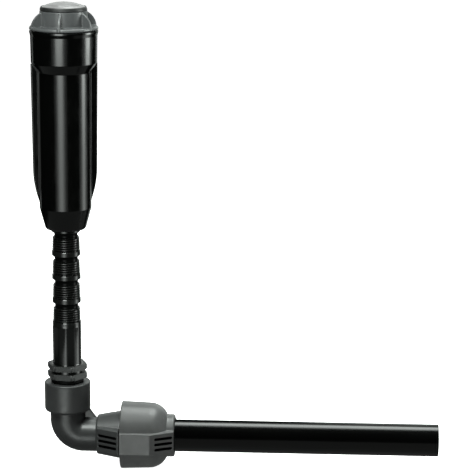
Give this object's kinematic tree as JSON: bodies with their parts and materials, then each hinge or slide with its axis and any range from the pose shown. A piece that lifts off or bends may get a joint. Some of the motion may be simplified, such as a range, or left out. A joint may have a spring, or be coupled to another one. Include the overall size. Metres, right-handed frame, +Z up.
{
  "type": "pop up sprinkler",
  "caption": "Pop-up rotor sprinkler on a cuttable threaded riser, screwed into a compression elbow that grips a straight length of polyethylene supply pipe.",
  "frame": {"origin": "centre of the supply pipe's open end, on the pipe axis", "axes": "+X along the pipe, pointing out of its open end; +Z up along the riser, towards the sprinkler's lid; +Y away from the viewer"},
  "size_m": [0.315, 0.0538, 0.3642],
  "materials": {
    "pipe_black": "glossy extruded polyethylene",
    "elbow_grey": "satin moulded polypropylene",
    "nut_grey": "satin moulded polypropylene",
    "riser_black": "satin moulded polypropylene",
    "can_black": "glossy moulded plastic",
    "cap_grey": "satin moulded plastic",
    "lid_grey": "smooth moulded rubber-covered plastic",
    "seal_rubber": "matt rubber",
    "cover_rubber": "matt rubber",
    "inner_black": "satin moulded plastic",
    "spring_steel": "drawn stainless wire",
    "arbor_steel": "ground stainless rod",
    "thrust_blue": "satin moulded plastic",
    "grip_white": "hard moulded acetal",
    "gear_acetal": "hard moulded acetal",
    "works_grey": "moulded plastic",
    "filter_grey": "moulded plastic",
    "arc_blue": "moulded plastic",
    "nozzle_grey": "moulded plastic",
    "washer_ptfe": "smooth fluoropolymer"
  },
  "bodies": {
    "housing": {"supply_pipe": "pipe_black", "elbow": "elbow_grey", "elbow_thread_seal": "seal_rubber", "pipe_o_ring": "seal_rubber", "riser": "riser_black", "can": "can_black"},
    "clamp": {"thrust_ring": "thrust_blue", "grip_ring": "grip_white"},
    "nut": {"union_nut": "nut_grey"},
    "cartridge": {"seal_guide": "inner_black", "wiper_seal": "seal_rubber", "cap_gasket": "seal_rubber", "retraction_spring": "spring_steel"},
    "cap": {"screw_cap": "cap_grey"},
    "stem": {"stem_tube": "inner_black", "stem_foot": "inner_black", "drain_seal": "seal_rubber", "filter_basket": "filter_grey", "stator_plate": "works_grey", "gear_case": "works_grey", "gear_case_lid": "works_grey", "center_arbor": "arbor_steel", "lay_arbor": "arbor_steel", "thrust_washer": "washer_ptfe"},
    "turbine": {"turbine": "grip_white"},
    "first_gear": {"gear_1": "gear_acetal"},
    "second_gear": {"gear_2": "gear_acetal"},
    "third_gear": {"gear_3": "gear_acetal"},
    "turret": {"output_gear": "gear_acetal", "turret_body": "inner_black", "nozzle": "nozzle_grey", "lid_ring": "cover_rubber", "lid": "lid_grey"},
    "arc_stop": {"arc_ring": "arc_blue"}
  },
  "joints": [
    {"name": "clamp_slide", "type": "slide", "parent": "housing", "child": "clamp", "axis": [1, 0, 0], "range_m": [0, 0.012]},
    {"name": "nut_turn", "type": "hinge", "parent": "clamp", "child": "nut", "pos_m": [-0.229, 0, 0], "axis": [1, 0, 0], "range_deg": [0, 1080]},
    {"name": "cap_lift", "type": "slide", "parent": "housing", "child": "cartridge", "axis": [0, 0, 1], "range_m": [0, 0.014]},
    {"name": "cap_turn", "type": "hinge", "parent": "cartridge", "child": "cap", "pos_m": [-0.289, 0, 0.32], "axis": [0, 0, 1], "range_deg": [0, 1440]},
    {"name": "pop_up", "type": "slide", "parent": "cartridge", "child": "stem", "axis": [0, 0, 1], "range_m": [0, 0.09], "stiffness_N_per_m": 150, "springref_m": -0.045, "deforming": ["retraction_spring"]},
    {"name": "turret_turn", "type": "hinge", "parent": "stem", "child": "turret", "pos_m": [-0.289, 0, 0.32], "axis": [0, 0, 1], "continuous": true},
    {"name": "turbine_spin", "type": "hinge", "parent": "stem", "child": "turbine", "pos_m": [-0.289, 0, 0.215], "axis": [0, 0, 1], "continuous": true},
    {"name": "gear_1_spin", "type": "hinge", "parent": "stem", "child": "first_gear", "pos_m": [-0.2834, 0, 0.228], "axis": [0, 0, 1], "continuous": true},
    {"name": "gear_2_spin", "type": "hinge", "parent": "stem", "child": "second_gear", "pos_m": [-0.289, 0, 0.231], "axis": [0, 0, 1], "continuous": true},
    {"name": "gear_3_spin", "type": "hinge", "parent": "stem", "child": "third_gear", "pos_m": [-0.2834, 0, 0.235], "axis": [0, 0, 1], "continuous": true},
    {"name": "arc_set", "type": "hinge", "parent": "stem", "child": "arc_stop", "pos_m": [-0.289, 0, 0.288], "axis": [0, 0, 1], "range_deg": [0, 320]}
  ],
  "couplings": [
    {"joint": "clamp_slide", "follows": "nut_turn", "m_per_rad": 0.00063662},
    {"joint": "cap_lift", "follows": "cap_turn", "m_per_rad": 0.00055704},
    {"joint": "gear_3_spin", "follows": "turret_turn", "ratio": -2.5},
    {"joint": "gear_2_spin", "follows": "turret_turn", "ratio": 6.25},
    {"joint": "gear_1_spin", "follows": "turret_turn", "ratio": -15.625},
    {"joint": "turbine_spin", "follows": "turret_turn", "ratio": 39.062}
  ]
}
